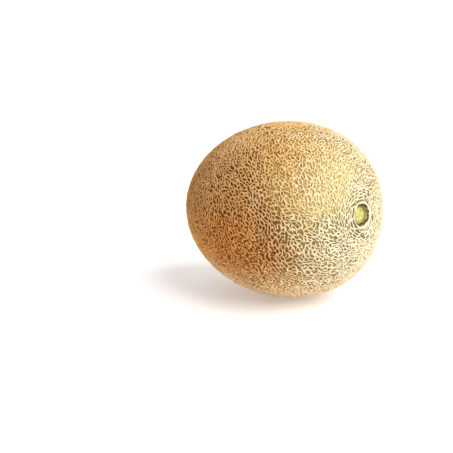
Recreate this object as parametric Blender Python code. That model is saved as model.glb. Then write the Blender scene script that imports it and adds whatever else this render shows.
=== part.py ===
"""A whole netted melon, picked from its vine and lying on its side.

It grew as one piece, so it is one closed solid: an egg-shaped body with a
square-shouldered stem end, a round sunken scar where the vine slipped off, a
small scar where the flower fell away, and the flat spot that it rests on.

Metres, +Z up. The stem end points along +X and is lifted a little. The origin
is on the ground, under the middle of the melon.
"""

import math

import bmesh
import bpy
from mathutils import Matrix, Vector

# Body
LENGTH = 0.173  # flower end to stem end, along the melon
WIDTH = 0.150  # across its widest ring
EGG = 0.116  # moves the widest ring toward the stem end; 0 leaves it halfway
SHOULDER = 0.27  # squares off the stem end; 0 leaves it as round as the flower end
OVAL = 0.0035  # how much wider than tall the rings are, as a share of their radius

# Stem scar: a waxy floor, a steep wall and a raised corky collar
SCAR_DIAMETER = 0.0158  # across the floor
SCAR_DEPTH = 0.0035  # floor below the rind around it
WALL_WIDTH = 0.0026  # from the floor's edge to the collar's crest
COLLAR_HEIGHT = 0.0012  # crest above the rind around it
COLLAR_WIDTH = 0.0042  # from the crest to where the collar meets the rind

# Flower scar: a shallow dimple with a soft edge
FLOWER_DIAMETER = 0.011
FLOWER_DEPTH = 0.0007
FLOWER_EDGE = 0.0045

# How it lies
STEM_LIFT = math.radians(5.8)
REST_DEPTH = 0.0013  # height of the flat spot above where round rind would reach

# Mesh
SEGMENTS = 72  # around each ring
RING_GAP = 0.0060  # between rings along the body
CURVE_STEPS = 720  # steps used to measure along the body's outline

RIND = (0.80, 0.66, 0.40)


def clear_scene():
    for obj in list(bpy.data.objects):
        bpy.data.objects.remove(obj, do_unlink=True)


def raw_radius(turn):
    """Outline radius as a share of half the width; turn is 0 at the stem end, pi at the flower end."""
    toward_stem = (1.0 + math.cos(turn)) / 2.0
    power = 1.0 - SHOULDER * toward_stem
    return max(math.sin(turn), 0.0) ** power * (1.0 + EGG * math.cos(turn))


def body_outline():
    """Points (radius, distance along the melon) of the plain body, stem end first."""
    turns = [math.pi * i / CURVE_STEPS for i in range(CURVE_STEPS + 1)]
    widest = max(raw_radius(turn) for turn in turns)
    return [
        (WIDTH / 2 * raw_radius(turn) / widest, LENGTH / 2 * math.cos(turn))
        for turn in turns
    ]


def along_at_radius(outline, radius):
    """Where the outline first reaches this radius, counting from its start."""
    for (r0, x0), (r1, x1) in zip(outline, outline[1:]):
        if r1 >= radius:
            return x0 + (x1 - x0) * (radius - r0) / (r1 - r0)
    raise ValueError("the scar is wider than the melon")


def evenly_spaced(outline, first, last):
    """Body rings between two radii, one near each end, at most RING_GAP apart."""
    widest = max(range(len(outline)), key=lambda i: outline[i][0])
    start = next(i for i in range(widest) if outline[i][0] > first)
    stop = next(i for i in range(widest, len(outline)) if outline[i][0] < last)
    stretch = outline[start:stop]
    steps = [math.dist(a, b) for a, b in zip(stretch, stretch[1:])]
    count = math.ceil(sum(steps) / RING_GAP)
    gap = sum(steps) / count
    rings = []
    travelled = 0.0
    for point, step in zip(stretch, steps):
        if travelled >= gap * (len(rings) + 0.5):
            rings.append(point)
        travelled += step
    return rings


def ease(share):
    return share * share * (3.0 - 2.0 * share)


def stem_scar_rings(outline):
    """Rings from the floor's centre out to the foot of the collar."""
    floor = SCAR_DIAMETER / 2
    crest = floor + WALL_WIDTH
    rise = SCAR_DEPTH + COLLAR_HEIGHT
    heights = [(0.0, -0.80 * SCAR_DEPTH), (0.35 * floor, -0.86 * SCAR_DEPTH)]
    heights += [(0.70 * floor, -0.96 * SCAR_DEPTH), (floor, -SCAR_DEPTH)]
    for share in (0.15, 0.32, 0.55, 0.78, 1.0):
        climb = math.sin(share * math.pi / 2) ** 0.7
        heights.append((floor + WALL_WIDTH * share, rise * climb - SCAR_DEPTH))
    for share in (0.25, 0.5, 0.75, 1.0):
        heights.append((crest + COLLAR_WIDTH * share, COLLAR_HEIGHT * (1.0 - ease(share))))
    return [(radius, along_at_radius(outline, radius) + height) for radius, height in heights]


def flower_scar_rings(outline):
    """Rings from the dimple's soft edge in to its centre."""
    floor = FLOWER_DIAMETER / 2
    edge = floor + FLOWER_EDGE
    backwards = list(reversed(outline))
    rings = []
    for radius in (edge, floor + FLOWER_EDGE / 2, floor, floor / 2, 0.0):
        share = min((edge - radius) / FLOWER_EDGE, 1.0)
        rings.append((radius, along_at_radius(backwards, radius) + FLOWER_DEPTH * ease(share)))
    return rings


def ring_point(radius, along, angle):
    """A point on a ring that is slightly wider than tall, more so at the body's middle."""
    share = radius / (WIDTH / 2)
    reach = radius * (1.0 + OVAL * share * math.cos(2.0 * angle))
    return Vector((along, reach * math.cos(angle), reach * math.sin(angle)))


def skin_rings(bm, rings):
    """Joins the rings into one closed skin; the first and last ring are the two poles."""
    first = bm.verts.new(ring_point(0.0, rings[0][1], 0.0))
    last = bm.verts.new(ring_point(0.0, rings[-1][1], 0.0))
    angles = [2 * math.pi * i / SEGMENTS for i in range(SEGMENTS)]
    loops = [
        [bm.verts.new(ring_point(radius, along, angle)) for angle in angles]
        for radius, along in rings[1:-1]
    ]
    for i in range(SEGMENTS):
        j = (i + 1) % SEGMENTS
        bm.faces.new((first, loops[0][i], loops[0][j]))
        for near, far in zip(loops, loops[1:]):
            bm.faces.new((near[i], far[i], far[j], near[j]))
        bm.faces.new((loops[-1][i], last, loops[-1][j]))


def lay_down(bm):
    """Lifts the stem end, cuts the flat spot and puts the origin under the middle."""
    bmesh.ops.rotate(bm, verts=bm.verts, cent=(0, 0, 0), matrix=Matrix.Rotation(-STEM_LIFT, 3, "Y"))
    lowest = min(v.co.z for v in bm.verts)
    bmesh.ops.translate(bm, verts=bm.verts, vec=(0, 0, -lowest - REST_DEPTH))
    everything = bm.verts[:] + bm.edges[:] + bm.faces[:]
    cut = bmesh.ops.bisect_plane(
        bm, geom=everything, plane_co=(0, 0, 0), plane_no=(0, 0, -1), clear_outer=True, dist=2e-5
    )
    rim = [item for item in cut["geom_cut"] if isinstance(item, bmesh.types.BMEdge)]
    bmesh.ops.edgeloop_fill(bm, edges=rim)
    for vert in bm.verts:
        if abs(vert.co.z) < 3e-5:
            vert.co.z = 0.0
    middle = [sum(f(v.co[axis] for v in bm.verts) for f in (min, max)) / 2 for axis in (0, 1)]
    bmesh.ops.translate(bm, verts=bm.verts, vec=(-middle[0], -middle[1], 0))
    bmesh.ops.recalc_face_normals(bm, faces=bm.faces)


def rind_material():
    material = bpy.data.materials.new("netted_rind")
    material.use_nodes = True
    shader = material.node_tree.nodes["Principled BSDF"]
    shader.inputs["Base Color"].default_value = (*RIND, 1.0)
    shader.inputs["Roughness"].default_value = 0.62
    shader.inputs["Metallic"].default_value = 0.0
    return material


def build_melon():
    outline = body_outline()
    stem_rings = stem_scar_rings(outline)
    flower_rings = flower_scar_rings(outline)
    body_rings = evenly_spaced(outline, stem_rings[-1][0], flower_rings[0][0])
    bm = bmesh.new()
    skin_rings(bm, stem_rings + body_rings + flower_rings)
    lay_down(bm)
    mesh = bpy.data.meshes.new("melon")
    bm.to_mesh(mesh)
    bm.free()
    mesh.materials.append(rind_material())
    mesh.shade_smooth()
    mesh.set_sharp_from_angle(angle=math.radians(40))
    melon = bpy.data.objects.new("melon", mesh)
    bpy.context.scene.collection.objects.link(melon)
    return melon


clear_scene()
build_melon()
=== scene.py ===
"""The looks of a whole netted melon lying on a pale floor.

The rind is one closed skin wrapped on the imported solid. Its relief is worked
out cell by cell: cork ridges grow along the cracks between cells of skin, rings
of long narrow cells circle the stem scar, the scar keeps its waxy floor, and a
button of cork covers the small flower scar. Everything is in metres, in the
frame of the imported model.
"""

import math

import bmesh
import bpy
import numpy as np
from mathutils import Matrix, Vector
from mathutils.bvhtree import BVHTree
from mathutils.kdtree import KDTree


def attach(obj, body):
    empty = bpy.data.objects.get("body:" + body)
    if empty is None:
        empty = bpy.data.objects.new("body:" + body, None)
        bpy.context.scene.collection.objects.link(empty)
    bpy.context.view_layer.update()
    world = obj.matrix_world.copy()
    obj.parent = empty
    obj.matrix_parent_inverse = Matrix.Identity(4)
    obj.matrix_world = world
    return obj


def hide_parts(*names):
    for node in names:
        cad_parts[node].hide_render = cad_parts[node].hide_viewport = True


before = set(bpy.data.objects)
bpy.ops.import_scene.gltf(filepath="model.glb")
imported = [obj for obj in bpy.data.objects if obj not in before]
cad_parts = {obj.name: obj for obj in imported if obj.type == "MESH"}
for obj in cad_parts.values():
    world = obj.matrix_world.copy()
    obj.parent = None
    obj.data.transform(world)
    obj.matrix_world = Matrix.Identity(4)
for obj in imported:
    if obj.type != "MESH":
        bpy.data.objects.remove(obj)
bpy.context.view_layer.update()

MM = 0.001

# Skin mesh: squares along each side of the six patches that cover the melon
PATCH_SQUARES = 384
BLOCK = 8  # squares along a block that shares one list of nearby cells
NEARBY = 26  # cells in that list
MAP_EDGE = 0.006  # clear strip round each patch on the map, as a share of the patch

# Net of cork ridges
CANDIDATES = 90000  # places tried as the middle of a cell
CELL_SPACING = 2.30 * MM  # least distance between the middles of two cells
SIZE_SPREAD = 0.84 * MM  # how unlike in size neighbouring cells are
RIDGE_WIDTH = 1.05 * MM
RIDGE_HEIGHT = 1.25 * MM
FLANK = 0.26 * MM  # how far a ridge's foot spreads past its edge
JOINT_SOFTNESS = 0.08 * MM  # how far the corners between ridges fill in
TONE_SOFTNESS = 0.22 * MM  # how far the tones of two ridges that meet run into each other
WEAK_SHARE = 0.13  # ridges that thin out and break off
CELL_STRETCH = 2.9  # how much longer than wide the longest cells are
GRAIN_LEAN = 0.58  # radians that the cells lean from round the melon toward along it

# Stem scar, measured out from the collar's crest
COLLAR_REACH = 1.05 * MM  # solid cork outside the crest
LIP = 1.0 * MM  # solid cork inside the crest
PIT_OVAL = 0.5 * MM  # how much wider the pit is from side to side than up and down
FLOOR_LIFT = 1.1 * MM  # dried wax on the scar's floor
RING_PITCH = 2.3 * MM  # between the rings of long cells outside the collar
VEINS = 10  # stubs on the scar's floor
RING_CELLS = [15 * MM, 9.5 * MM, 7 * MM, 5.5 * MM, 4.6 * MM]  # length of the cells in each ring

# Flower scar
BUTTON_RADIUS = 3.6 * MM  # cork over the scar
BUTTON_DROP = 0.7 * MM  # its middle below the rind around it

# Sides of the melon, as ways out from its middle
GOLDEN_AND_PAINTED_LIGHT_SIDE = (0.72, -0.43, 0.54)  # golden skin and cork, partly painted light: lighter on the side the key light falls on
DARK_AND_PAINTED_SHADE_SIDE = (0.06, -0.98, 0.13)  # darker skin and cork, partly their own colour and partly painted shade on the side away from the key light
PAINTED_WARM_BOUNCE_SIDE = (0.08, -0.96, -0.27)  # painted light: skin and cork painted orange-brown for warm light bounced onto this side
OPEN_SIDE = (0.66, -0.75, -0.10)  # where the net's cells are largest

# Camera
AZIMUTH = math.radians(40.8)
ELEVATION = math.radians(15)
CAMERA_DISTANCE = 1.15
LENS = 107.2  # millimetres
AIM_LEFT = 43.3 * MM  # how far to the left of the melon's middle it points
AIM_BELOW = 15.5 * MM  # and how far below

FLOOR_HALF = 6.0  # from the floor's middle to its sides

SEED = 20


def smooth(low, high, value):
    share = np.clip((value - low) / (high - low), 0.0, 1.0)
    return share * share * (3.0 - 2.0 * share)


class Waves:
    """A smooth random field, from about -1 to 1, whose lumps are roughly one size across."""

    def __init__(self, rng, size, count=24):
        spin = rng.normal(size=(count, 3))
        spin /= np.linalg.norm(spin, axis=1)[:, None]
        self.spin = (spin * (2 * math.pi / size) * rng.uniform(0.6, 1.4, (count, 1))).astype(np.float32)
        self.phase = rng.uniform(0, 2 * math.pi, count).astype(np.float32)
        self.scale = 0.8 * math.sqrt(2.0 / count)

    def __call__(self, points):
        return np.cos(points.astype(np.float32) @ self.spin.T + self.phase).sum(1) * self.scale


# ---------------------------------------------------------------- the body


def welded(solid):
    bm = bmesh.new()
    bm.from_mesh(solid.data)
    bmesh.ops.remove_doubles(bm, verts=bm.verts, dist=0.002 * MM)
    return bm


def find_poles(solid):
    """Stem pole and flower pole: the two corners of the solid that most edges meet in."""
    bm = welded(solid)
    fans = sorted(bm.verts, key=lambda vert: -len(vert.link_edges))[:2]
    flower, stem = sorted((vert.co.copy() for vert in fans), key=lambda place: place.x)
    bm.free()
    return stem, flower


def rounded_surface(solid):
    """A tree for casting rays at the solid, with its small facets rounded out."""
    bm = welded(solid)
    bmesh.ops.join_triangles(bm, faces=bm.faces, angle_face_threshold=0.6, angle_shape_threshold=0.9)
    mesh = bpy.data.meshes.new("rounded")
    bm.to_mesh(mesh)
    bm.free()
    model = bpy.data.objects.new("rounded", mesh)
    bpy.context.scene.collection.objects.link(model)
    rounding = model.modifiers.new("rounding", "SUBSURF")
    rounding.levels = 2
    rounding.render_levels = 2
    tree = BVHTree.FromObject(model, bpy.context.evaluated_depsgraph_get())
    bpy.data.objects.remove(model)
    return tree


class Body:
    """The solid's axis, its outline from stem pole to flower pole, and its scar's sizes."""

    def __init__(self, solid):
        stem, flower = find_poles(solid)
        self.centre = (stem + flower) / 2
        along = (stem - flower).normalized()
        across = Vector((0, 1, 0))
        self.axes = np.array([along, across, along.cross(across)])
        self.tree = rounded_surface(solid)
        self.turns = np.linspace(0, math.pi, 2001)
        sides = np.arange(8) * math.pi / 4 + 0.2
        reach = np.mean([self.reach(self.towards(self.turns, side)) for side in sides], axis=0)
        self.along = reach * np.cos(self.turns)
        self.radius = reach * np.sin(self.turns)
        steps = np.hypot(np.diff(self.along), np.diff(self.radius))
        self.travel = np.concatenate([[0], np.cumsum(steps)])
        crest = int(np.argmax(self.along))
        pit = self.along[:crest]
        foot = np.nonzero(pit < pit.min() + 0.2 * (self.along[crest] - pit.min()))[0][-1]
        self.crest_radius = float(self.radius[crest])
        self.floor_radius = float(self.radius[foot])

    def towards(self, turn, side):
        """Directions at an angle from the stem end, on one side of the axis."""
        local = np.stack([np.cos(turn), np.sin(turn) * np.cos(side), np.sin(turn) * np.sin(side)], 1)
        return local @ self.axes

    def reach(self, directions):
        cast = self.tree.ray_cast
        distances = (cast(self.centre, way)[3] for way in directions.tolist())
        return np.fromiter(distances, float, len(directions))

    def points_along(self, directions, reach):
        return np.array(self.centre) + directions * reach[:, None]

    def outward(self, points):
        """Ways from the centre to the points, one long."""
        ways = points - np.array(self.centre)
        return ways / np.linalg.norm(ways, axis=1)[:, None]

    def round_the_axis(self, side):
        """Ways round the axis, one long, at each side of it."""
        local = np.stack([np.zeros_like(side), -np.sin(side), np.cos(side)], 1)
        return local @ self.axes

    def degrees_from(self, points, way):
        """Angle at the centre between each point and one way out from it."""
        facing = self.outward(points) @ np.array(Vector(way).normalized())
        return np.degrees(np.arccos(np.clip(facing, -1, 1)))


def cube_patches(count):
    """Directions, squares and map places of a ball made of six patches with shared borders."""
    steps = np.arange(count + 1)
    i, j = (grid.ravel() for grid in np.meshgrid(steps, steps, indexing="ij"))
    corner = np.arange((count + 1) ** 2).reshape(count + 1, count + 1)
    square = np.stack([corner[:-1, :-1], corner[1:, :-1], corner[1:, 1:], corner[:-1, 1:]], -1)
    keys, squares, places, blocks = [], [], [], []
    blocks_wide = count // BLOCK + 1
    for patch in range(6):
        axis, sign = patch % 3, 1 - 2 * (patch // 3)
        out = np.eye(3, dtype=int)[axis] * sign
        right = np.eye(3, dtype=int)[(axis + 1) % 3]
        up = np.cross(out, right)
        keys.append(out * count + np.outer(2 * i - count, right) + np.outer(2 * j - count, up))
        squares.append(square.reshape(-1, 4) + patch * len(i))
        over = (patch % 3 + MAP_EDGE + (1 - 2 * MAP_EDGE) * i / count) / 3
        down = (patch // 3 + MAP_EDGE + (1 - 2 * MAP_EDGE) * j / count) / 2
        places.append(np.stack([over, down], 1))
        blocks.append((patch * blocks_wide + i // BLOCK) * blocks_wide + j // BLOCK)
    squares = np.concatenate(squares)
    places = np.concatenate(places)[squares.ravel()]
    keys, first, shared = np.unique(np.concatenate(keys), axis=0, return_index=True, return_inverse=True)
    ways = np.tan(keys / count * math.pi / 4)
    ways /= np.linalg.norm(ways, axis=1)[:, None]
    return ways, shared.ravel()[squares], places, np.concatenate(blocks)[first]


class Spots:
    """The corners of the skin mesh before its relief, and where on the body each one is."""

    def __init__(self, body, ways):
        travel = np.arccos(np.clip(ways[:, 0], -1, 1)) / math.pi * body.travel[-1]
        self.turn = np.interp(travel, body.travel, body.turns)  # angle from the stem end
        self.side = np.arctan2(ways[:, 2], ways[:, 1])  # angle round the axis
        directions = body.towards(self.turn, self.side)
        reach = body.reach(directions)
        self.points = body.points_along(directions, reach)
        self.radius = reach * np.sin(self.turn)  # distance from the axis
        self.stem_half = self.turn < math.pi / 2
        # how far outside the crest of the scar's collar, or a metre on the flower's half
        self.beyond = np.where(self.stem_half, self.radius - body.crest_radius, 1.0)


def mesh_from(name, points, squares, places):
    mesh = bpy.data.meshes.new(name)
    mesh.vertices.add(len(points))
    mesh.vertices.foreach_set("co", points.astype(np.float32).ravel())
    mesh.loops.add(squares.size)
    mesh.loops.foreach_set("vertex_index", squares.astype(np.int32).ravel())
    mesh.polygons.add(len(squares))
    mesh.polygons.foreach_set("loop_start", np.arange(0, squares.size, 4, dtype=np.int32))
    layer = mesh.uv_layers.new(name="OFBake")
    layer.data.foreach_set("uv", places.astype(np.float32).ravel())
    mesh.update(calc_edges=True)
    mesh.shade_smooth()
    return mesh


def normals_of(mesh):
    flat = np.empty(len(mesh.vertices) * 3, np.float32)
    mesh.vertex_normals.foreach_get("vector", flat)
    return flat.reshape(-1, 3).astype(float)


# ----------------------------------------------------------------- the net


def scatter(points, spacing, rng):
    """Picks points in random order, keeping those no nearer to a kept one than their spacing."""
    box = float(spacing.max())
    kept, grid = [], {}
    around = [(a, b, c) for a in (-1, 0, 1) for b in (-1, 0, 1) for c in (-1, 0, 1)]
    order = rng.permutation(len(points))[:CANDIDATES]
    boxes = np.floor(points / box).astype(int)
    for index in order.tolist():
        x, y, z = points[index]
        a, b, c = boxes[index]
        least = spacing[index] ** 2
        crowded = any(
            (x - u) ** 2 + (y - v) ** 2 + (z - w) ** 2 < least
            for d, e, f in around
            for u, v, w in grid.get((a + d, b + e, c + f), ())
        )
        if not crowded:
            grid.setdefault((a, b, c), []).append((x, y, z))
            kept.append(index)
    return np.array(kept)


class Cells:
    """The patches of bare skin between the ridges: a middle, a grain direction and a stretch each."""

    def __init__(self, body, spots, rng):
        self.body = body
        self.rng = rng
        self.first_ring = body.crest_radius + COLLAR_REACH + 0.35 * MM
        self.last_ring = self.first_ring + (len(RING_CELLS) - 0.4) * RING_PITCH
        groups = [self.net_cells(spots)]
        groups += [self.ring_cells(ring, length) for ring, length in enumerate(RING_CELLS)]
        joined = [np.concatenate(parts).astype(np.float32) for parts in zip(*groups)]
        self.middles, self.grain, self.stretch = joined
        self.tone = rng.uniform(0, 1, len(self.middles)).astype(np.float32)
        self.bias = (rng.uniform(-1, 1, len(self.middles)) * SIZE_SPREAD**2).astype(np.float32)

    def net_cells(self, spots):
        """Middles, grain and stretch of the cells that cover the melon outside the rings."""
        rng = self.rng
        outside = np.nonzero(~(spots.stem_half & (spots.radius < self.last_ring)))[0]
        points = spots.points[outside]
        spacing = CELL_SPACING * (1 + 0.07 * Waves(rng, 55 * MM)(points))
        spacing *= 1.11 - 0.14 * smooth(10, 62, self.body.degrees_from(points, OPEN_SIDE))
        spacing *= 1 - 0.10 * smooth(2.0, 3.0, spots.turn[outside])
        kept = outside[scatter(points, spacing, rng)]

        middles = spots.points[kept]
        tangent = self.body.round_the_axis(spots.side[kept])
        bitangent = np.cross(self.body.outward(middles), tangent)
        bitangent /= np.linalg.norm(bitangent, axis=1)[:, None]
        stem_pull = 1 - smooth(self.last_ring, self.last_ring + 16 * MM, spots.radius[kept])
        stem_pull[spots.turn[kept] > math.pi / 2] = 0
        lean = GRAIN_LEAN + 0.45 * Waves(rng, 60 * MM)(middles) + rng.normal(0, 0.38, len(kept))
        lean *= 1 - 0.85 * stem_pull
        grain = np.cos(lean)[:, None] * tangent + np.sin(lean)[:, None] * bitangent
        longest = CELL_STRETCH + 0.5 * stem_pull
        stretch = 1 + (longest - 1) * rng.uniform(0, 1, len(kept)) ** 0.6
        return middles, grain, stretch

    def ring_cells(self, ring, length):
        """The same three for one of the rings of long cells round the stem scar."""
        body, rng = self.body, self.rng
        radius = self.first_ring + ring * RING_PITCH
        count = round(2 * math.pi * radius / length)
        side = (np.arange(count) + rng.uniform(-0.27, 0.27, count)) * 2 * math.pi / count
        side += rng.uniform(0, 6)
        wobble = radius + 0.10 * MM * (1 + ring) * rng.normal(size=count)
        near_stem = body.turns < 0.9
        turn = np.interp(wobble, body.radius[near_stem], body.turns[near_stem])
        ways = body.towards(turn, side)
        middles = body.points_along(ways, body.reach(ways))
        stretch = np.full(count, 1 + 0.9 * (length / RING_PITCH - 1)).clip(1.6, 4.5)
        return middles, body.round_the_axis(side), stretch

    def nearby(self, points, blocks):
        """For each block of points, the cells that may reach into it."""
        tree = KDTree(len(self.middles))
        for index, middle in enumerate(self.middles.tolist()):
            tree.insert(middle, index)
        tree.balance()
        _, which, count = np.unique(blocks, return_inverse=True, return_counts=True)
        centres = np.stack([np.bincount(which, points[:, k]) / count for k in range(3)], 1)
        found = [[hit[1] for hit in tree.find_n(centre, NEARBY)] for centre in centres.tolist()]
        return np.array(found), which


def pair_chance(one, other):
    """A number from 0 to 1 that belongs to a pair of cells, whichever comes first."""
    low, high = np.minimum(one, other), np.maximum(one, other)
    mixed = (low * 73856093) ^ (high * 19349663)
    return ((mixed >> 3) % 4093) / 4092.0


def ridge_value(points, lists, which, cells, fade, width, weak_share):
    """How far each point lies inside a ridge, below 0 on bare skin; and two tones from 0 to 1.

    The first tone belongs to the nearest ridge and the second to the cell the point is in.
    """
    value, ridge_tone, cell_tone = np.empty((3, len(points)), np.float32)
    for chunk in np.array_split(np.arange(len(points)), len(points) // 30000 + 1):
        near = lists[which[chunk]]
        step = points[chunk, None] - cells.middles[near]
        stretch = cells.stretch[near]
        grain = cells.grain[near]
        run = (step * grain).sum(2)
        slack = stretch - 1 / stretch
        cost = stretch * (step * step).sum(2) - slack * run * run - cells.bias[near]
        slope = stretch[..., None] * step - (slack * run)[..., None] * grain
        rows = np.arange(len(chunk))
        own = cost.argmin(1)
        steep = np.linalg.norm(slope - slope[rows, own][:, None], axis=2)
        gap = (cost - cost[rows, own][:, None]) / (2 * steep + 1e-9)
        gap[rows, own] = 1.0  # a cell grows no ridge against itself
        chance = pair_chance(near[rows, own][:, None], near)
        half = width[chunk, None] / 2
        strong = half * (0.72 + 0.50 * (chance - WEAK_SHARE) / (1 - WEAK_SHARE))
        weak = half * (0.9 * fade[chunk, None] + 0.9 * chance / WEAK_SHARE - 0.45)
        reach = np.where(chance > weak_share[chunk, None], strong, weak) - gap
        top = reach.max(1)
        spread = np.exp(np.minimum((reach - top[:, None]) / JOINT_SOFTNESS, 0))
        value[chunk] = top + JOINT_SOFTNESS * np.log(spread.sum(1))
        share = np.exp(np.minimum((reach - top[:, None]) / TONE_SOFTNESS, 0))
        ridge_tone[chunk] = (share * chance).sum(1) / share.sum(1)
        cell_tone[chunk] = cells.tone[near[rows, own]]
    return value, ridge_tone, cell_tone


# --------------------------------------------------------------- the relief


def net_value(body, spots, blocks, rng):
    """The net's value and tones at each spot, read a little aside so that no ridge is straight."""
    points = spots.points
    cells = Cells(body, spots, rng)
    warp = np.stack([0.20 * MM * Waves(rng, 3.2 * MM)(points) for _ in range(3)], 1)
    warp += np.stack([0.6 * MM * Waves(rng, 14 * MM)(points) for _ in range(3)], 1)
    warp *= (0.35 + 0.65 * smooth(2 * MM, 14 * MM, spots.beyond))[:, None]
    lists, which = cells.nearby(points, blocks)
    fade = Waves(rng, 3.6 * MM)(points)
    width = RIDGE_WIDTH * (1.14 - 0.14 * smooth(3 * MM, 16 * MM, spots.beyond))
    width *= 1 + 0.15 * Waves(rng, 5 * MM)(points)
    weak_share = WEAK_SHARE * smooth(3 * MM, 14 * MM, spots.beyond)
    warped = (points + warp).astype(np.float32)
    return ridge_value(warped, lists, which, cells, fade, width, weak_share)


def rind_height(points, value, ridge_tone, button, rng):
    """Height of cork and skin over the solid, and how far up a ridge's flank each point is."""
    rise = np.clip((value + FLANK) / (FLANK + 0.42 * RIDGE_WIDTH), 0, 1)
    rise = rise * (2 - rise)
    tall = 0.76 + 0.12 * Waves(rng, 9 * MM)(points) + 0.24 * ridge_tone
    crumbs = 0.055 * MM * Waves(rng, 1.3 * MM, 32)(points) * rise
    lumps = 0.05 * MM * Waves(rng, 2.4 * MM)(points)
    height = RIDGE_HEIGHT * (rise * tall - 1) + crumbs + lumps * (1 - rise)
    return height - BUTTON_DROP * smooth(0.2 * MM, 2.6 * MM, button), rise


def vein_stubs(body, spots, rng):
    """A ring of small stubs on the scar's floor, where the vine's veins ran into the fruit."""
    stubs = np.zeros(len(spots.radius))
    for index in range(VEINS):
        angle = (index + rng.uniform(-0.2, 0.2)) * 2 * math.pi / VEINS
        out = body.floor_radius * rng.uniform(0.60, 0.74)
        off_across = spots.radius * np.cos(spots.side) - out * math.cos(angle)
        off_up = spots.radius * np.sin(spots.side) - out * math.sin(angle)
        away = np.hypot(off_across, off_up)
        stubs = np.maximum(stubs, np.exp(-((away / (0.62 * MM)) ** 2)))
    return np.where(spots.stem_half, stubs, 0)


def scar_height(body, spots, pit, floor, rng):
    """Height of the stem scar's wall and floor over the solid, and its stubs and shreds."""
    torn = Waves(rng, 1.6 * MM, 32)(spots.points)
    stubs = vein_stubs(body, spots, rng)
    dimple = np.where(spots.stem_half, np.exp(-((spots.radius / (1.5 * MM)) ** 2)), 0)
    height = MM * ((0.05 * torn + 0.30 * stubs - 0.35 * dimple) * floor + 0.26 * torn * (pit - floor))
    shreds = np.maximum(smooth(0.6, 1.2, torn) * (pit - floor), dimple * 0.6)
    return height + FLOOR_LIFT * floor, stubs, shreds


def shape_rind(body, spots, blocks, normals):
    """Moves the spots along their normals and returns them with the masks the finish reads."""
    rng = np.random.default_rng(SEED)
    points, beyond = spots.points, spots.beyond
    value, ridge_tone, cell_tone = net_value(body, spots, blocks, rng)

    ragged = 0.28 * MM * Waves(rng, 3.0 * MM)(points) + 0.30 * MM * Waves(rng, 11 * MM)(points)
    collar = COLLAR_REACH + ragged - beyond
    button = np.where(spots.stem_half, -MM, BUTTON_RADIUS + 1.4 * ragged - spots.radius)
    value = np.maximum(np.maximum(value, collar), button)
    oval = PIT_OVAL * np.cos(2 * spots.side)
    inward = beyond + 0.6 * ragged - oval
    pit = 1 - smooth(-LIP - 0.30 * MM, -LIP + 0.30 * MM, inward)
    from_wall = spots.radius - body.floor_radius + ragged - oval
    floor = np.where(spots.stem_half, 1 - smooth(-0.4 * MM, 0.5 * MM, from_wall), 0)

    height, rise = rind_height(points, value, ridge_tone, button, rng)
    pit_height, stubs, shreds = scar_height(body, spots, pit, floor, rng)
    height = np.minimum(height * (1 - pit), 0.10 * MM) + pit_height * pit
    shaped = points + normals * height[:, None]
    shaped[:, 2] = np.maximum(shaped[:, 2], 0.0)
    masks = {
        "cork": smooth(-0.20 * MM, 0.14 * MM, value) * (1 - pit),
        # rise also sets where painted shade darkens the cork down the ridges' flanks
        "rise": rise * (1 - pit),
        "pit": pit,
        "pit_floor": floor * pit,
        "stubs": stubs * pit,
        "shreds": shreds,
        # painted shade round the edge of the scar's floor, by its wall
        "floor_edge": smooth(-3.2 * MM, 0.2 * MM, from_wall) * floor,
        "button": smooth(0.4 * MM, 2.4 * MM, button),
        "stem_ring": 1 - smooth(3 * MM, 17 * MM, beyond),
        "underside": 1 - smooth(2 * MM, 46 * MM, points[:, 2]),
        "toward_flower": spots.turn / math.pi,
        # where painted shade darkens the skin at the foot of each ridge
        "foot": smooth(-0.75 * MM, -0.10 * MM, value),
        "ridge_tone": ridge_tone,
        "cell_tone": cell_tone,
        # the next three masks paint light and shade into the colour: a golden side painted lighter where
        # the key light falls, a side painted darker in shade, and a side painted with warm bounced light
        "sunny": 1 - smooth(8, 45, body.degrees_from(points, GOLDEN_AND_PAINTED_LIGHT_SIDE)),
        "shaded": 1 - smooth(14, 74, body.degrees_from(points, DARK_AND_PAINTED_SHADE_SIDE)),
        "tanned": 1 - smooth(6, 50, body.degrees_from(points, PAINTED_WARM_BOUNCE_SIDE)),
    }
    return shaped, masks


# ----------------------------------------------------------------- finishes


class Wire:
    """A socket's value, which adds Math nodes when it is used in an expression."""

    def __init__(self, work, socket):
        self.work = work
        self.socket = socket

    def join(self, operation, left, right):
        return self.work.node("ShaderNodeMath", {"operation": operation}, {0: left, 1: right})

    def __add__(self, other):
        return self.join("ADD", self, other)

    def __sub__(self, other):
        return self.join("SUBTRACT", self, other)

    def __rsub__(self, other):
        return self.join("SUBTRACT", other, self)

    def __mul__(self, other):
        return self.join("MULTIPLY", self, other)

    __radd__ = __add__
    __rmul__ = __mul__


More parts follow.
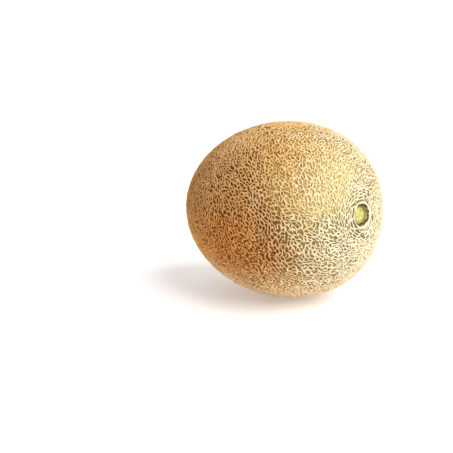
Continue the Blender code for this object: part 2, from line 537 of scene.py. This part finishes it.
class NodeWork:
    """The few ways that the nodes of a material or a world are made."""

    def __init__(self, owner):
        self.owner = owner
        owner.use_nodes = True
        self.tree = owner.node_tree

    def node(self, kind, settings=None, sockets=None, out=0):
        """Adds a node: its settings first, then a value or a wire for each socket."""
        made = self.tree.nodes.new(kind)
        for name, setting in (settings or {}).items():
            if name == "stops":
                self.set_stops(made.color_ramp, setting)
            else:
                setattr(made, name, setting)
        for name, value in (sockets or {}).items():
            self.feed(made.inputs[name], value)
        return Wire(self, made.outputs[out])

    def feed(self, socket, value):
        if isinstance(value, Wire):
            self.tree.links.new(value.socket, socket)
        else:
            socket.default_value = value

    def set_stops(self, ramp, stops):
        while len(ramp.elements) < len(stops):
            ramp.elements.new(0.5)
        for element, (place, shade) in zip(ramp.elements, stops):
            element.position = place
            element.color = (*shade, 1)

    def mask(self, name):
        return self.node("ShaderNodeAttribute", {"attribute_name": name}, out="Fac")

    def noise(self, size, detail, roughness=0.55):
        place = self.node("ShaderNodeTexCoord", out="Object")
        sockets = {"Vector": place, "Scale": 1 / size, "Detail": detail, "Roughness": roughness}
        return self.node("ShaderNodeTexNoise", {}, sockets)

    def between(self, low, high, value):
        """0 below low, 1 above high, and a soft climb from one to the other."""
        sockets = {"Value": value, "From Min": low, "From Max": high}
        return self.node("ShaderNodeMapRange", {"interpolation_type": "SMOOTHSTEP"}, sockets)

    def ramp(self, value, *stops):
        return self.node("ShaderNodeValToRGB", {"stops": stops}, {"Fac": value}, out="Color")

    def blend(self, share, under, over):
        sockets = {0: share, 6: colour(under), 7: colour(over)}
        return self.node("ShaderNodeMix", {"data_type": "RGBA"}, sockets, out=2)

    def surface(self, **sockets):
        shader = self.tree.nodes["Principled BSDF"]
        for name, value in sockets.items():
            self.feed(shader.inputs[name.replace("_", " ")], value)


def colour(value):
    return value if isinstance(value, Wire) or len(value) == 4 else (*value, 1)


def tint(red, green, blue):
    """A colour given as it looks, 0 to 255, in the shader's own linear values."""
    parts = [part / 255 for part in (red, green, blue)]
    return tuple(p / 12.92 if p <= 0.04045 else ((p + 0.055) / 1.055) ** 2.4 for p in parts)


class RindWork(NodeWork):
    """The rind's material, with what its skin, its bark and its stem scar share."""

    def __init__(self):
        super().__init__(bpy.data.materials.new("netted_rind"))
        self.toward_flower = self.mask("toward_flower")
        self.underside = self.mask("underside")
        self.tanned = self.mask("tanned")
        self.patches = self.noise(30 * MM, 2.0) - 0.5
        self.mottle = self.noise(5 * MM, 4.0) - 0.5
        self.grit = self.noise(0.9 * MM, 4.0, 0.65)
        self.pale = self.between(-0.04, 0.22, self.patches + self.mottle * 0.4)
        self.sunny = self.patchy("sunny")
        self.shaded = self.patchy("shaded")

    def patchy(self, name):
        """A side's mask with an uneven edge."""
        return self.between(0.10, 0.90, self.mask(name) + self.patches * 0.7 + self.mottle * 0.6)

    def skin(self):
        """Bare skin: olive by the stem, ochre by the flower, golden and painted lighter on the lit side,
        painted darker in shade, painted orange-brown with bounced warm light, and painted shade at the
        ridges' feet.
        """
        skin = self.ramp(
            self.toward_flower + self.patches * 0.3 + self.mottle * 0.2,
            (0.10, tint(172, 164, 100)),
            (0.28, tint(174, 150, 78)),
            (0.60, tint(180, 128, 44)),
        )
        skin = self.blend(self.pale * 0.45, skin, tint(178, 152, 82))
        # darker skin, partly its own colour and partly painted shade on the side away from the key light
        skin = self.blend(self.shaded, skin, tint(128, 76, 6))
        # painted warm light: orange-brown skin where warm light bounces onto this side
        skin = self.blend(self.tanned * 0.9, skin, tint(122, 48, 0))
        skin = self.blend(self.underside * 0.6, skin, tint(112, 88, 42))
        # golden skin, partly its own colour and partly painted light: much lighter on the side the key
        # light falls on
        golden = self.ramp(
            self.toward_flower,
            (0.18, tint(246, 228, 150)),
            (0.30, tint(242, 190, 72)),
            (0.45, tint(240, 166, 60)),
        )
        skin = self.blend(self.sunny, skin, golden)
        cell_tone = self.mask("cell_tone")
        skin = self.blend(cell_tone * cell_tone * cell_tone * 0.45, skin, tint(98, 66, 12))
        skin = self.blend(self.mask("stem_ring") * 0.7, skin, tint(108, 104, 58))
        skin = self.blend(self.between(0.50, 0.72, self.grit) * 0.45, skin, tint(96, 64, 16))
        # painted shade: darker skin at the foot of each ridge
        return self.blend(self.mask("foot") * 0.5, skin, tint(90, 56, 12))

    def bark(self):
        """Cork of the ridges and the collar: cream by the stem, tan by the flower, partly painted light
        and shade, with painted shade on the flanks.
        """
        # the climb from tan by the flower to pale cream by the stem is partly the cork's own colour and
        # partly painted light: paler on the lit stem end, darker on the shaded flower end
        bark = self.ramp(
            self.toward_flower + self.patches * 0.3 + self.mottle * 0.3,
            (0.12, tint(241, 230, 198)),
            (0.25, tint(246, 227, 184)),
            (0.38, tint(251, 204, 134)),
            (0.54, tint(247, 204, 142)),
            (0.69, tint(200, 149, 86)),
        )
        bark = self.blend(self.pale * 0.35, bark, tint(248, 218, 164))
        # darker cork, partly its own colour and partly painted shade on the side away from the key light
        bark = self.blend(self.shaded * 0.28, bark, tint(176, 112, 46))
        # painted warm light: orange cork where warm light bounces onto this side
        bark = self.blend(self.tanned * 0.75, bark, tint(214, 130, 40))
        # golden cork, partly its own colour and partly painted light on the lit side
        golden_and_lit_cork = self.ramp(
            self.toward_flower,
            (0.18, tint(252, 228, 172)),
            (0.34, tint(255, 202, 112)),
        )
        bark = self.blend(self.sunny * 0.45, bark, golden_and_lit_cork)
        dull = (1 - self.mask("ridge_tone")) * self.between(0.02, 0.42, self.toward_flower) * 0.38
        bark = self.blend(dull, bark, tint(196, 148, 86))
        bark = self.blend(self.between(0.42, 0.70, self.grit) * 0.3, bark, tint(200, 156, 96))
        # painted shade: darker cork down the ridges' flanks
        bark = self.blend((1 - self.mask("rise")) * 0.6, bark, tint(150, 104, 50))
        bark = self.blend(self.underside * 0.5, bark, tint(238, 222, 192))
        return self.blend(self.mask("button") * 0.7, bark, tint(138, 98, 54))

    def scar(self):
        """The stem scar's torn wall, dark partly in its own brown and partly painted shade in the pit,
        and its floor of dried wax, with painted shade round its edge.
        """
        shreds = self.mask("shreds")
        # the wall's dark brown is partly the torn tissue's own colour and partly painted shade in the
        # pit
        wall = self.ramp(self.grit, (0.38, tint(58, 38, 14)), (0.62, tint(104, 76, 32)))
        wall = self.blend(shreds, wall, tint(196, 164, 104))
        wax = self.ramp(
            self.noise(2.2 * MM, 3.0) + 0.25 * self.grit - 0.12,
            (0.34, tint(158, 156, 78)),
            (0.50, tint(196, 192, 108)),
            (0.66, tint(220, 216, 146)),
        )
        wax = self.blend(self.mask("stubs") * 0.5, wax, tint(166, 150, 70))
        # painted shade: darker wax round the edge of the scar's floor, by its wall
        wax = self.blend(self.mask("floor_edge") * 0.6, wax, tint(120, 112, 58))
        return wall, self.blend(shreds * 0.7, wax, tint(150, 142, 66))


def rind_finish():
    rind = RindWork()
    cork, floor = rind.mask("cork"), rind.mask("pit_floor")
    wall, wax = rind.scar()
    base = rind.blend(cork, rind.skin(), rind.bark())
    base = rind.blend(rind.mask("pit"), base, wall)
    base = rind.blend(floor, base, wax)
    roughness = 0.46 + cork * 0.30 + rind.grit * 0.12 - floor * 0.08
    grain_height = rind.grit * (0.35 + cork * 0.65)
    bump = {"Strength": 0.55, "Distance": 0.25 * MM, "Height": grain_height}
    bumped = rind.node("ShaderNodeBump", {}, bump)
    rind.surface(Base_Color=base, Roughness=roughness, Normal=bumped, Specular_IOR_Level=0.2)
    return rind.owner


def floor_finish():
    floor = NodeWork(bpy.data.materials.new("floor_finish"))
    floor.surface(Base_Color=colour(tint(248, 248, 249)), Roughness=0.5)
    floor.surface(Emission_Color=(1, 1, 1, 1), Emission_Strength=0.28)
    return floor.owner


# -------------------------------------------------------------------- pieces


def make_rind():
    body = Body(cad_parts["melon"])
    ways, squares, places, blocks = cube_patches(PATCH_SQUARES)
    spots = Spots(body, ways)
    mesh = mesh_from("rind", spots.points, squares, places)
    shaped, masks = shape_rind(body, spots, blocks, normals_of(mesh))
    mesh.vertices.foreach_set("co", shaped.astype(np.float32).ravel())
    for name, values in masks.items():
        layer = mesh.attributes.new(name, "FLOAT", "POINT")
        layer.data.foreach_set("value", values.astype(np.float32))
    mesh.update()
    mesh.materials.append(rind_finish())
    rind = bpy.data.objects.new("rind", mesh)
    bpy.context.scene.collection.objects.link(rind)
    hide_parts("melon")
    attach(rind, "root")
    return body


def make_floor():
    half = FLOOR_HALF
    corners = [(-half, -half, 0), (half, -half, 0), (half, half, 0), (-half, half, 0)]
    mesh = bpy.data.meshes.new("floor")
    mesh.from_pydata(corners, [], [(0, 1, 2, 3)])
    mesh.materials.append(floor_finish())
    floor = bpy.data.objects.new("floor", mesh)
    bpy.context.scene.collection.objects.link(floor)


def hang(light, place, aim):
    lamp = bpy.data.objects.new(light.name, light)
    lamp.location = place
    lamp.rotation_euler = (place - aim).to_track_quat("Z", "Y").to_euler()
    bpy.context.scene.collection.objects.link(lamp)


def hang_sun(name, strength, width, way, aim):
    """A soft light from far off, as wide in degrees as it looks from the melon."""
    sun = bpy.data.lights.new(name, "SUN")
    sun.energy = strength
    sun.angle = math.radians(width)
    hang(sun, aim + way, aim)


def light_up(body, right, away):
    """Soft lights from the stem side and from behind, a low warm one on the left, and a pale room."""
    up = Vector((0, 0, 1))
    hang_sun("key", 3.33, 60, right * 0.64 - away * 0.33 + up * 0.71, body.centre)
    hang_sun("rim", 0.9, 90, away * 0.75 + up * 0.60 + right * 0.06, body.centre)

    glow = bpy.data.lights.new("warm_glow", "AREA")
    glow.shape = "RECTANGLE"
    glow.size = 0.26
    glow.size_y = 0.12
    glow.energy = 0.11
    glow.color = (1.0, 0.44, 0.10)
    hang(glow, body.centre - right * 0.30 - away * 0.18 - up * 0.02, body.centre)

    room = NodeWork(bpy.data.worlds.new("pale_room"))
    seen = room.node("ShaderNodeLightPath", out="Is Camera Ray")
    background = room.tree.nodes["Background"]
    # dim on the melon, but white where the camera sees it
    room.feed(background.inputs["Color"], (1, 1, 1, 1))
    room.feed(background.inputs["Strength"], 0.30 + seen * 0.70)
    bpy.context.scene.world = room.owner
    bpy.context.scene.view_settings.view_transform = "Standard"


def place_camera(body):
    """Puts the camera to the front and right; returns the level ways to its right and away from it."""
    right = Vector((math.cos(AZIMUTH), math.sin(AZIMUTH), 0))
    away = Vector((-math.sin(AZIMUTH), math.cos(AZIMUTH), 0))
    back = (Vector((0, 0, math.tan(ELEVATION))) - away).normalized()
    aim = body.centre - right * AIM_LEFT - back.cross(right) * AIM_BELOW
    camera = bpy.data.cameras.new("camera")
    camera.lens = LENS
    camera.clip_end = 50
    eye = bpy.data.objects.new("camera", camera)
    eye.location = aim + back * CAMERA_DISTANCE
    eye.rotation_euler = back.to_track_quat("Z", "Y").to_euler()
    bpy.context.scene.collection.objects.link(eye)
    bpy.context.scene.camera = eye
    return right, away


melon = make_rind()
make_floor()
right, away = place_camera(melon)
light_up(melon, right, away)

bpy.context.view_layer.update()
